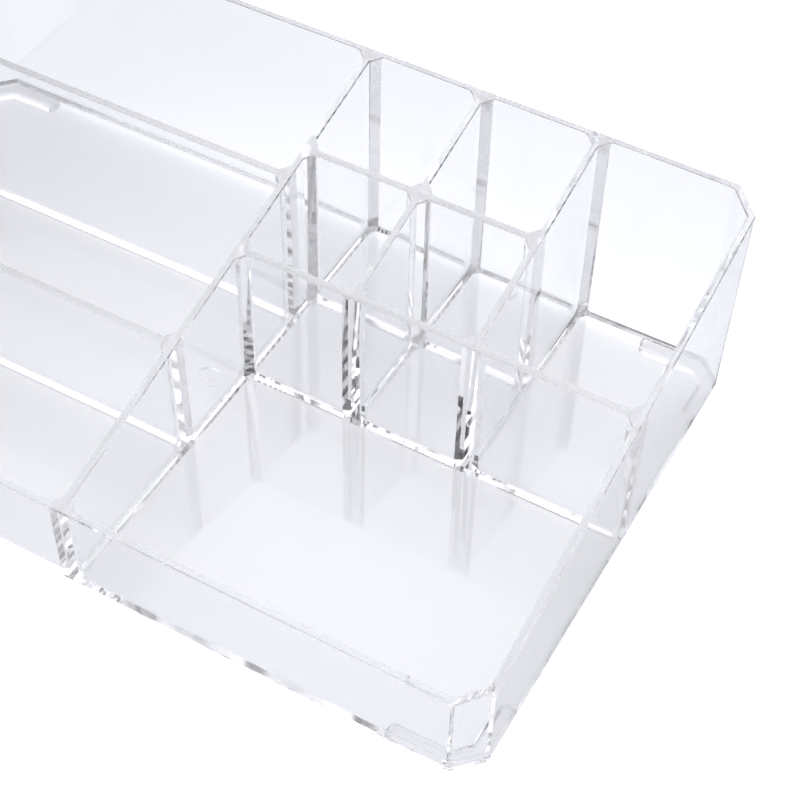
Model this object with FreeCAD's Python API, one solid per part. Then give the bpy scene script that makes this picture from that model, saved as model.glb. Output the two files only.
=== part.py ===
import FreeCAD, Part
import math
import os

# Overall form in millimetres, measured at the underside of the floor
length = 242.2
depth = 144.6
front_height = 27.0
back_height = 62.4
corner_chamfer = 6.8

# Thickness of the moulding: the outer walls are even, the inner walls taper upwards from the floor
floor_thickness = 1.4
outer_wall = 1.9
inner_wall = 2.6
draft_angle = 0.4

# Cut corners inside the compartments, and the bevels round their floors and along the rim
inner_cut = 2.1
floor_bevel = 1.0
rim_bevel = 0.3

# Where the inner walls stand, from the middle of the organizer
main_divider_x = 11.2
slot_pitch = 33.0
front_slot_wall_y = 5.8
rear_slot_wall_y = 38.3
front_tray_wall_y = -23.8
rear_tray_wall_y = 29.2

# Feet: an angled rib under each corner, with ends rounded by a share of its width
foot_height = 2.8
foot_width = 4.9
foot_arm_x = 16.5
foot_arm_y = 14.5
foot_inset = 0.8
foot_rounding = 0.4
foot_bevel = 0.5

# Gate mark on the underside, where the plastic entered the mould
gate_x = 2.7
gate_y = -1.4
gate_diameter = 6.4
gate_depth = 0.5
gate_nub_diameter = 2.6
gate_nub_height = 0.35

# Seats: the foot and the ends of each wall are housed this deep, a little wider than their cut corners
seat_depth = 0.4
seat_lip = 0.25
corner_return = 2.5
lap_share = 0.5

# Levels and slopes that follow from the sizes above
slope = math.tan(math.radians(draft_angle))
leg_growth = 2.0 - math.sqrt(2.0)
half_length = length / 2.0
half_depth = depth / 2.0
underside = foot_height
floor_top = underside + floor_thickness
seat_level = floor_top - seat_depth
tallest = max(front_height, back_height)
sky = underside + tallest + floor_thickness
rim_slope = (back_height - front_height) / depth
tolerance = 1e-4

# Inner faces of the outer walls at floor level, and the reach of a housed end into a wall
inner_x = half_length + slope * floor_thickness - outer_wall
inner_y = half_depth + slope * floor_thickness - outer_wall
inner_chamfer = corner_chamfer - outer_wall * leg_growth
wall_rise = tallest - floor_thickness
outer_seat = slope * wall_rise + seat_depth
half_wall = inner_wall / 2.0
inner_seat = half_wall - slope * wall_rise - seat_depth
half_seat = half_wall + inner_cut + seat_lip

# The two slot dividers stand one and two pitches to the right of the main divider
left_slot_x = main_divider_x + slot_pitch
right_slot_x = main_divider_x + 2.0 * slot_pitch


def rim_level(y):
    """Height of the sloping rim at a distance y from the middle."""
    return underside + front_height + rim_slope * (y + half_depth)


def plan(x0, x1, y0, y1, legs):
    """Corners of a rectangle from the front left, anticlockwise, each cut back by its leg."""
    corners = [
        (x0, y0, (0, 1), (1, 0)),
        (x1, y0, (-1, 0), (0, 1)),
        (x1, y1, (0, -1), (-1, 0)),
        (x0, y1, (1, 0), (0, -1)),
    ]
    points = []
    for (x, y, before, after), leg in zip(corners, legs):
        if leg:
            points.append((x + before[0] * leg, y + before[1] * leg))
            points.append((x + after[0] * leg, y + after[1] * leg))
        else:
            points.append((x, y))
    return points


def octagon(growth):
    """The outline of the underside, grown outwards evenly."""
    reach_x = half_length + growth
    reach_y = half_depth + growth
    leg = corner_chamfer + growth * leg_growth
    return plan(-reach_x, reach_x, -reach_y, reach_y, (leg, leg, leg, leg))


def flat_face(points):
    """A flat face through a closed run of 3-D points."""
    return Part.Face(Part.makePolygon(points + points[:1]))


def drafted(low, high, z_low, z_high):
    """A solid with straight leaning sides between two outlines with as many corners."""
    bottom = [FreeCAD.Vector(x, y, z_low) for x, y in low]
    top = [FreeCAD.Vector(x, y, z_high) for x, y in high]
    faces = [flat_face(bottom[::-1]), flat_face(top)]
    for i in range(len(bottom)):
        faces.append(flat_face([bottom[i - 1], bottom[i], top[i], top[i - 1]]))
    return Part.makeSolid(Part.makeShell(faces))


def upright(points, z_low, z_high):
    """A prism on an outline."""
    face = flat_face([FreeCAD.Vector(x, y, z_low) for x, y in points])
    return face.extrude(FreeCAD.Vector(0, 0, z_high - z_low))


def edges_at(shape, level):
    """Edges whose two ends lie at the height that level gives for their y."""
    return [e for e in shape.Edges if all(abs(v.Z - level(v.Y)) < tolerance for v in e.Vertexes)]


def compartment(x0, x1, y0, y1, corner_legs):
    """The hollow of one compartment: leaning sides, cut corners and a bevel round its floor."""

    def section(z):
        growth = slope * (z - floor_top)
        legs = [leg + growth * leg_growth for leg in corner_legs]
        return plan(x0 - growth, x1 + growth, y0 - growth, y1 + growth, legs)

    hollow = drafted(section(floor_top), section(sky), floor_top, sky)
    return hollow.makeChamfer(floor_bevel, edges_at(hollow, lambda y: floor_top))


def compartments():
    """The nine hollows: three trays on the left, four slots, a corner box and a front tray."""
    main_left = main_divider_x - half_wall
    main_right = main_divider_x + half_wall
    slots_front = front_slot_wall_y + half_wall
    cut = inner_cut
    wide = inner_chamfer
    plain = (cut, cut, cut, cut)
    hollows = [
        compartment(-inner_x, main_left, -inner_y, front_tray_wall_y - half_wall, (wide, cut, cut, cut)),
        compartment(-inner_x, main_left, front_tray_wall_y + half_wall, rear_tray_wall_y - half_wall, plain),
        compartment(-inner_x, main_left, rear_tray_wall_y + half_wall, inner_y, (cut, cut, cut, wide)),
        compartment(main_right, inner_x, -inner_y, front_slot_wall_y - half_wall, (cut, wide, cut, cut)),
        compartment(right_slot_x + half_wall, inner_x, slots_front, inner_y, (cut, cut, wide, cut)),
    ]
    for left in (main_divider_x, left_slot_x):
        x0 = left + half_wall
        x1 = left + slot_pitch - half_wall
        hollows.append(compartment(x0, x1, slots_front, rear_slot_wall_y - half_wall, plain))
        hollows.append(compartment(x0, x1, rear_slot_wall_y + half_wall, inner_y, plain))
    return hollows


def above_rim():
    """Everything above the sloping plane in which all the rims lie."""
    y0 = -depth
    y1 = depth
    top = rim_level(y1) + tallest
    side = [(y0, rim_level(y0)), (y1, rim_level(y1)), (y1, top), (y0, top)]
    face = flat_face([FreeCAD.Vector(-length, y, z) for y, z in side])
    return face.extrude(FreeCAD.Vector(2.0 * length, 0, 0))


def moulding():
    """The whole clear tray above its feet, with one bevelled rim in one sloping plane."""
    body = drafted(octagon(0.0), octagon(slope * (sky - underside)), underside, sky)
    tray = body.cut(compartments()).cut(above_rim()).removeSplitter()
    tray = tray.makeChamfer(rim_bevel, edges_at(tray, rim_level))
    well_foot = FreeCAD.Vector(gate_x, gate_y, underside)
    well = Part.makeCylinder(gate_diameter / 2.0, gate_depth, well_foot)
    nub_foot = FreeCAD.Vector(gate_x, gate_y, underside + gate_depth - gate_nub_height)
    nub = Part.makeCylinder(gate_nub_diameter / 2.0, gate_nub_height, nub_foot)
    return tray.cut(well.cut(nub))


def foot(side_x, side_y):
    """One foot: a strip that turns twice with the cut corner, with round ends and a bevelled underside."""
    reach_x = half_length - foot_inset
    reach_y = half_depth - foot_inset
    leg = corner_chamfer - foot_inset * leg_growth
    near_x = reach_x - foot_width
    near_y = reach_y - foot_width
    near_leg = leg - foot_width * leg_growth
    end_x = reach_x - leg - foot_arm_x
    end_y = reach_y - leg - foot_arm_y
    outline = [
        (end_x, reach_y),
        (reach_x - leg, reach_y),
        (reach_x, reach_y - leg),
        (reach_x, end_y),
        (near_x, end_y),
        (near_x, near_y - near_leg),
        (near_x - near_leg, near_y),
        (end_x, near_y),
    ]

    def at_an_end(edge):
        low, high = edge.Vertexes
        off_end = min(abs(abs(low.X) - end_x), abs(abs(low.Y) - end_y))
        return abs(high.Z - low.Z) > tolerance and off_end < tolerance

    strip = upright([(side_x * x, side_y * y) for x, y in outline], 0.0, underside + seat_depth)
    strip = strip.makeFillet(foot_rounding * foot_width, [e for e in strip.Edges if at_an_end(e)])
    return strip.makeChamfer(foot_bevel, edges_at(strip, lambda y: 0.0))


def housing(x0, x1, y0, y1):
    """The room that an inner wall takes, from the bottom of its seat in the floor upwards."""
    corner = FreeCAD.Vector(x0, y0, seat_level)
    return Part.makeBox(x1 - x0, y1 - y0, 2.0 * sky, corner)


def along_y(x, y0, y1):
    """Room of a wall that runs from front to back."""
    return housing(x - half_seat, x + half_seat, y0, y1)


def along_x(y, x0, x1):
    """Room of a wall that runs from left to right."""
    return housing(x0, x1, y - half_seat, y + half_seat)


# Rooms of the inner walls, each reaching a seat depth into the walls at its ends
seat_x = inner_x + outer_seat
seat_y = inner_y + outer_seat
rooms = {
    "main_divider": along_y(main_divider_x, -seat_y, seat_y),
    "front_tray_wall": along_x(front_tray_wall_y, -seat_x, main_divider_x - inner_seat),
    "rear_tray_wall": along_x(rear_tray_wall_y, -seat_x, main_divider_x - inner_seat),
    "front_slot_wall": along_x(front_slot_wall_y, main_divider_x + inner_seat, seat_x),
    "rear_slot_wall": along_x(rear_slot_wall_y, main_divider_x + inner_seat, right_slot_x - inner_seat),
    "left_slot_divider": along_y(left_slot_x, front_slot_wall_y + inner_seat, seat_y),
    "right_slot_divider": along_y(right_slot_x, front_slot_wall_y + inner_seat, seat_y),
}

# Where the left slot divider and the rear slot wall cross, each is halved: the divider keeps the lower half
crossing = rooms["left_slot_divider"].common(rooms["rear_slot_wall"])
lap_level = floor_top + lap_share * (rim_level(rear_slot_wall_y) - floor_top)
below_lap = Part.makeBox(2.0 * length, 2.0 * depth, lap_level, FreeCAD.Vector(-length, -depth, 0))
rooms["rear_slot_wall"] = rooms["rear_slot_wall"].cut(crossing.common(below_lap))
rooms["left_slot_divider"] = rooms["left_slot_divider"].cut(crossing.cut(below_lap))

# Which ends are housed in which wall: the wall gives way to the rooms named after it
gives_way = {
    "main_divider": ["front_tray_wall", "rear_tray_wall", "front_slot_wall", "rear_slot_wall"],
    "front_tray_wall": [],
    "rear_tray_wall": [],
    "front_slot_wall": ["left_slot_divider", "right_slot_divider"],
    "rear_slot_wall": [],
    "left_slot_divider": [],
    "right_slot_divider": ["rear_slot_wall"],
}

tray = moulding()
pieces = {}

# Inner walls
for name, housed in gives_way.items():
    wall = tray.common(rooms[name])
    if housed:
        wall = wall.cut([rooms[other] for other in housed])
    pieces[name] = wall

# Outer walls: a band round the tray, as deep as its walls and their bevels, parted at the cut corners
band = upright(octagon(outer_wall), seat_level, 2.0 * sky)
band = band.cut(upright(octagon(-outer_wall - floor_bevel - seat_lip), seat_level, 2.0 * sky))
band = tray.common(band).cut(list(rooms.values()))
part_x = half_length - corner_chamfer - corner_return
part_y = half_depth - corner_chamfer - corner_return
spans = {
    "left": (-length, -part_x),
    "middle_x": (-part_x, part_x),
    "right": (part_x, length),
    "front": (-depth, -part_y),
    "middle_y": (-part_y, part_y),
    "back": (part_y, depth),
}
outer_pieces = {
    "front_wall": ("middle_x", "front"),
    "back_wall": ("middle_x", "back"),
    "left_wall": ("left", "middle_y"),
    "right_wall": ("right", "middle_y"),
    "front_left_corner": ("left", "front"),
    "front_right_corner": ("right", "front"),
    "back_left_corner": ("left", "back"),
    "back_right_corner": ("right", "back"),
}
for name, (across, along) in outer_pieces.items():
    pieces[name] = band.common(housing(*spans[across], *spans[along]))

# Feet, each let into the underside of the floor by a seat depth
feet = {
    "front_left_foot": foot(-1, -1),
    "front_right_foot": foot(1, -1),
    "back_left_foot": foot(-1, 1),
    "back_right_foot": foot(1, 1),
}

# Floor: what is left of the tray under the walls' seats and between them
pieces["floor_plate"] = tray.cut(list(pieces.values())).cut(list(feet.values()))
pieces.update(feet)

os.makedirs("parts", exist_ok=True)
for name, shape in pieces.items():
    shape.removeSplitter().exportStep(f"parts/{name}.step")
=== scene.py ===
import bpy
import math
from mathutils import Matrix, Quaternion, Vector
from mathutils.bvhtree import BVHTree


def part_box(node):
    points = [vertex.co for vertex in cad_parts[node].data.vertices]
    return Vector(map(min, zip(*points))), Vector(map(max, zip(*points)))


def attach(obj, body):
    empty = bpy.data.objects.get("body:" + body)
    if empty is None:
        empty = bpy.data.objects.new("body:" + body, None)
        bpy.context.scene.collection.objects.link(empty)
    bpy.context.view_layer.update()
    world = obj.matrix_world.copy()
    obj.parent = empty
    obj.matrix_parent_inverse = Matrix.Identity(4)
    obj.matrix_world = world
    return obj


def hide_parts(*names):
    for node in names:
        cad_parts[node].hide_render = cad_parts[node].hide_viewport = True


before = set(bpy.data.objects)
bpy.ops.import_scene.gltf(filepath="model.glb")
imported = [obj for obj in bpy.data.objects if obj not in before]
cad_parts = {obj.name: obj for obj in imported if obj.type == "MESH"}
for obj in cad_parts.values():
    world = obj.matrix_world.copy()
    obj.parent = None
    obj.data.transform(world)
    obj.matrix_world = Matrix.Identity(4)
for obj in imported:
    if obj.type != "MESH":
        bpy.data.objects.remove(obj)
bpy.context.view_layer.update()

# Floor plate: the flat bottom of the one-piece tray, with a round gate mark underneath.
# Crystal polystyrene, injection-moulded in a polished tool. The whole tray is one shot of plastic,
# so where its panels meet there is no seam to see.
millimetre = 0.001


def linear(hex_colour):
    """The linear colour, with alpha, of an sRGB hex value."""
    channels = [int(hex_colour[i:i + 2], 16) / 255 for i in (1, 3, 5)]
    return [c / 12.92 if c <= 0.04045 else ((c + 0.055) / 1.055) ** 2.4 for c in channels] + [1]


def add_node(tree, kind, settings=None, **inputs):
    """Adds a node with its settings. An input is a plain value, or another node's socket to link from."""
    node = tree.nodes.new(kind)
    for name, value in (settings or {}).items():
        setattr(node, name, value)
    for name, value in inputs.items():
        socket = node.inputs[int(name[1:])] if name[1:].isdigit() else node.inputs[name.replace("_", " ")]
        if isinstance(value, bpy.types.NodeSocket):
            tree.links.new(value, socket)
        else:
            socket.default_value = value
    return node


def new_material(name):
    """An empty material with its output, and the tree that its nodes go into."""
    material = bpy.data.materials.new(name)
    material.use_nodes = True
    material.node_tree.nodes.clear()
    output = add_node(material.node_tree, "ShaderNodeOutputMaterial")
    return material, material.node_tree, output


def crystal_polystyrene():
    """Clear, glossy and faintly cool. The tool's polish leaves a slow waviness, which makes reflections swim,
    and handling leaves a fine uneven haze, drawn coarse enough to show."""
    polystyrene_ior = 1.59
    wave_size = 30 * millimetre
    wave_height = 0.002 * millimetre
    wave_detail = 1.0
    haze_size = 3 * millimetre
    haze_detail = 3.0
    haze_from, haze_full = 0.2, 0.6
    haze_roughness = 0.05
    material, tree, output = new_material("crystal_polystyrene_moulded")
    place = add_node(tree, "ShaderNodeTexCoord").outputs["Object"]
    waves = add_node(tree, "ShaderNodeTexNoise", Vector=place, Scale=1 / wave_size, Detail=wave_detail)
    haze = add_node(tree, "ShaderNodeTexNoise", Vector=place, Scale=1 / haze_size, Detail=haze_detail)
    bump = add_node(tree, "ShaderNodeBump", Strength=1.0, Distance=wave_height, Height=waves.outputs[0])
    roughness = add_node(tree, "ShaderNodeMapRange", Value=haze.outputs[0], From_Min=haze_from,
                         From_Max=haze_full, To_Min=0.0, To_Max=haze_roughness)
    plastic = add_node(tree, "ShaderNodeBsdfPrincipled", Base_Color=linear("#fdfdfe"), IOR=polystyrene_ior,
                       Transmission_Weight=1.0, Roughness=roughness.outputs[0], Normal=bump.outputs[0])
    tree.links.new(plastic.outputs[0], output.inputs["Surface"])
    return material


def seamless_joint():
    """Where two panels of the one moulding meet, the plastic runs on and nothing shows."""
    material, tree, output = new_material("polystyrene_joint")
    clear = add_node(tree, "ShaderNodeBsdfTransparent", Color=linear("#ffffff"))
    tree.links.new(clear.outputs[0], output.inputs["Surface"])
    return material


plastic = crystal_polystyrene()
joint = seamless_joint()

panel_trees = {}
for cad_name, cad_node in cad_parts.items():
    points = [v.co for v in cad_node.data.vertices]
    triangles = [face.vertices for face in cad_node.data.polygons]
    panel_trees[cad_name] = BVHTree.FromPolygons(points, triangles)


def meets_another(face, node):
    """True if that face of a panel lies against a face of another panel."""
    reach = 0.01 * millimetre
    facing = -0.99
    start = face.center + face.normal * reach
    for other, tree in panel_trees.items():
        if other != node:
            spot, normal = tree.ray_cast(start, -face.normal, 2 * reach)[:2]
            if spot and normal.dot(face.normal) < facing:
                return True
    return False


def moulded_panel(node, let_in_from=None):
    """The panel of that name in clear plastic: its doubles merged, its rounding smooth, its joints unseen.
    A panel that is let into another is cut at that height, so that only the part let in counts as a joint."""
    merge_distance = 0.001 * millimetre
    smooth_below = math.radians(38)
    panel = bpy.data.objects.new("clear_" + node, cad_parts[node].data.copy())
    bpy.context.collection.objects.link(panel)
    bpy.ops.object.select_all(action="DESELECT")
    panel.select_set(True)
    bpy.context.view_layer.objects.active = panel
    bpy.ops.object.mode_set(mode="EDIT")
    bpy.ops.mesh.select_all(action="SELECT")
    bpy.ops.mesh.customdata_custom_splitnormals_clear()
    bpy.ops.mesh.remove_doubles(threshold=merge_distance)
    if let_in_from:
        bpy.ops.mesh.select_all(action="SELECT")
        bpy.ops.mesh.bisect(plane_co=(0, 0, let_in_from), plane_no=(0, 0, 1))
        bpy.ops.mesh.select_all(action="SELECT")
        bpy.ops.mesh.quads_convert_to_tris()
    bpy.ops.object.mode_set(mode="OBJECT")
    bpy.ops.object.shade_smooth_by_angle(angle=smooth_below)
    flats = panel.modifiers.new("flat_faces_stay_flat", "WEIGHTED_NORMAL")
    flats.keep_sharp = True
    bpy.ops.object.modifier_apply(modifier=flats.name)
    panel.data.materials.clear()
    panel.data.materials.append(plastic)
    panel.data.materials.append(joint)
    for face in panel.data.polygons:
        face.material_index = 1 if meets_another(face, node) else 0
    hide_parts(node)
    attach(panel, "root")


moulded_panel("floor_plate")

# Outer walls: four flat sides, drafted a little outwards, with the rim sloping down from back to front.
# Clear polystyrene, moulded with the floor, with a bevel inside along each foot.
for wall in ("front_wall", "back_wall", "left_wall", "right_wall"):
    moulded_panel(wall)

# Cut corners: the short angled sides between the outer walls.
# Clear polystyrene, moulded with the walls and as thick as they are.
for corner in ("front_left_corner", "front_right_corner", "back_left_corner", "back_right_corner"):
    moulded_panel(corner)

# Main divider: the wall from front to back between the long trays and the slots.
# Clear polystyrene. It thins upwards, as a moulded wall has to, to leave the tool.
moulded_panel("main_divider")

# Tray walls: the two walls between the three long trays on the left.
# Clear polystyrene, moulded with the divider and the left wall, with cut corners where they join.
for wall in ("front_tray_wall", "rear_tray_wall"):
    moulded_panel(wall)

# Slot walls and dividers: the walls round the four upright slots, each a little lower towards the front.
# Clear polystyrene, moulded together, with the same cut corners inside each slot.
for wall in ("front_slot_wall", "rear_slot_wall", "left_slot_divider", "right_slot_divider"):
    moulded_panel(wall)

# Feet: an angled rib with round ends under each corner, which keeps the tray off the table.
# Clear polystyrene, moulded with the floor, so only the part below the floor is seen.
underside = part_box("floor_plate")[0].z
for foot in ("front_left_foot", "front_right_foot", "back_left_foot", "back_right_foot"):
    moulded_panel(foot, let_in_from=underside)

# Table: plain white paper under the tray, which glows white where it is seen directly.
# A thin film of air stays between it and the feet, and its lit part keeps the tray's faint shadow.
# Seen through the plastic it glows less, a painted shadow of the tray, with a painted pool of light round one
# spot;
# mirrored in a wall it glows less again, a painted shadow.
table_size = 6.0
air_film = 0.02 * millimetre
paper_glow = 0.9
# Painted light: through the plastic the paper glows less than seen directly, a painted shadow, and most round
# one spot, a painted pool of light.
painted_pool_glow, painted_pool_edge_glow = 0.68, 0.50
# Painted shadow: mirrored in a wall the paper glows dimmer still.
painted_shadow_mirrored_glow = 0.35
painted_pool_middle = (55 * millimetre, 18 * millimetre, 0)
painted_pool_radius, painted_pool_fade_radius = 40 * millimetre, 200 * millimetre
bpy.ops.object.select_all(action="DESELECT")
bpy.ops.mesh.primitive_plane_add(size=table_size, location=(0, 0, -air_film))
table = bpy.context.active_object
table.name = "paper_table"
paper, tree, output = new_material("white_paper_painted_pool_and_shadow")
path = add_node(tree, "ShaderNodeLightPath")
place = add_node(tree, "ShaderNodeTexCoord").outputs["Object"]
reach = add_node(tree, "ShaderNodeVectorMath", {"operation": "DISTANCE"}, i0=place, i1=painted_pool_middle)
# The painted pool of light: brightest round its middle, fading out towards its rim.
spot = add_node(tree, "ShaderNodeMapRange", {"interpolation_type": "SMOOTHSTEP"},
                Value=reach.outputs["Value"], From_Min=painted_pool_radius, From_Max=painted_pool_fade_radius,
                To_Min=painted_pool_glow, To_Max=painted_pool_edge_glow)
painted_glow_through_plastic = add_node(tree, "ShaderNodeMath", {"operation": "MULTIPLY"}, i0=path.outputs["Is Transmission Ray"],
                   i1=spot.outputs[0])
# Painted shadow: the paper mirrored in a wall glows dimmer than seen directly.
painted_shadow_mirrored = add_node(tree, "ShaderNodeMath", {"operation": "MULTIPLY"}, i0=path.outputs["Is Glossy Ray"],
                    i1=painted_shadow_mirrored_glow)
painted_glow_in_plastic = add_node(tree, "ShaderNodeMath", {"operation": "MAXIMUM"}, i0=painted_glow_through_plastic.outputs[0],
                      i1=painted_shadow_mirrored.outputs[0])
bare = add_node(tree, "ShaderNodeMath", {"operation": "MULTIPLY"}, i0=path.outputs["Is Camera Ray"],
                i1=paper_glow)
glow = add_node(tree, "ShaderNodeMath", {"operation": "MAXIMUM"}, i0=painted_glow_in_plastic.outputs[0],
                i1=bare.outputs[0])
# The paper's glow carries the painted pool of light and the painted shadows, added on top of its real lit
# part.
lit = add_node(tree, "ShaderNodeBsdfDiffuse", Color=linear("#f1f2f7"))
white = add_node(tree, "ShaderNodeEmission", Color=linear("#fafbff"), Strength=glow.outputs[0])
sheet = add_node(tree, "ShaderNodeAddShader", i0=lit.outputs[0], i1=white.outputs[0])
tree.links.new(sheet.outputs[0], output.inputs["Surface"])
table.data.materials.append(paper)

# Light: a dark studio with a few large soft boxes, which the clear walls carry to their edges.
# Two boxes on the far side give the trays their tone, and two low ones on the near side catch the bevels.
# The camera looks past them at a plain white backdrop.
soft_boxes = {
    "far_low": {"azimuth": -28, "elevation": 12, "brightness": 0.75},
    "far_high": {"azimuth": -28, "elevation": 45, "brightness": 1.5},
    "right_high": {"azimuth": 32, "elevation": 45, "brightness": 0.15},
    "near_low": {"azimuth": 152, "elevation": 12, "brightness": 0.5},
    "left_low": {"azimuth": 212, "elevation": 12, "brightness": 0.7},
}
box_middle = math.radians(8)
box_edge = math.radians(50)
room = bpy.data.worlds.new("studio")
room.use_nodes = True
room.node_tree.nodes.clear()
tree = room.node_tree
direction = add_node(tree, "ShaderNodeTexCoord").outputs["Generated"]
brightness = 0.0
for box in soft_boxes.values():
    azimuth = math.radians(box["azimuth"])
    elevation = math.radians(box["elevation"])
    level = math.cos(elevation)
    aim = (math.sin(azimuth) * level, math.cos(azimuth) * level, math.sin(elevation))
    towards = add_node(tree, "ShaderNodeVectorMath", {"operation": "DOT_PRODUCT"}, i0=direction, i1=aim)
    shine = add_node(tree, "ShaderNodeMapRange", {"interpolation_type": "SMOOTHSTEP"},
                     Value=towards.outputs["Value"], From_Min=math.cos(box_edge),
                     From_Max=math.cos(box_middle), To_Min=0.0, To_Max=box["brightness"])
    total = add_node(tree, "ShaderNodeMath", {"operation": "ADD"}, i0=brightness, i1=shine.outputs[0])
    brightness = total.outputs[0]
light = add_node(tree, "ShaderNodeBackground", Color=linear("#fbfcff"), Strength=brightness)
backdrop = add_node(tree, "ShaderNodeBackground", Color=linear("#ffffff"), Strength=1.0)
straight = add_node(tree, "ShaderNodeLightPath").outputs["Is Camera Ray"]
seen = add_node(tree, "ShaderNodeMixShader", i0=straight, i1=light.outputs[0], i2=backdrop.outputs[0])
output = add_node(tree, "ShaderNodeOutputWorld", Surface=seen.outputs[0])
bpy.context.scene.world = room

# Camera: from the front right, looking down, as the tray is photographed, with a slight tilt.
# Light goes round for long in the clear walls before it leaves, so the paths are long too.
camera_place = Vector((199.3, -258.1, 360.7)) * millimetre
camera_target = Vector((52.64, 15.1, 6.4)) * millimetre
camera_tilt = math.radians(1.59)
lens_length = 81.26
nearest_seen = 10 * millimetre
longest_path = 256
view = bpy.data.cameras.new("camera")
view.lens = lens_length
view.clip_start = nearest_seen
camera = bpy.data.objects.new("camera", view)
camera.location = camera_place
camera.rotation_mode = "QUATERNION"
aim = (camera_target - camera_place).to_track_quat("-Z", "Y")
camera.rotation_quaternion = aim @ Quaternion((0, 0, 1), camera_tilt)
bpy.context.collection.objects.link(camera)
scene = bpy.context.scene
scene.camera = camera
scene.view_settings.view_transform = "Standard"
scene.cycles.max_bounces = longest_path
scene.cycles.transmission_bounces = longest_path
scene.cycles.glossy_bounces = longest_path
scene.cycles.transparent_max_bounces = longest_path
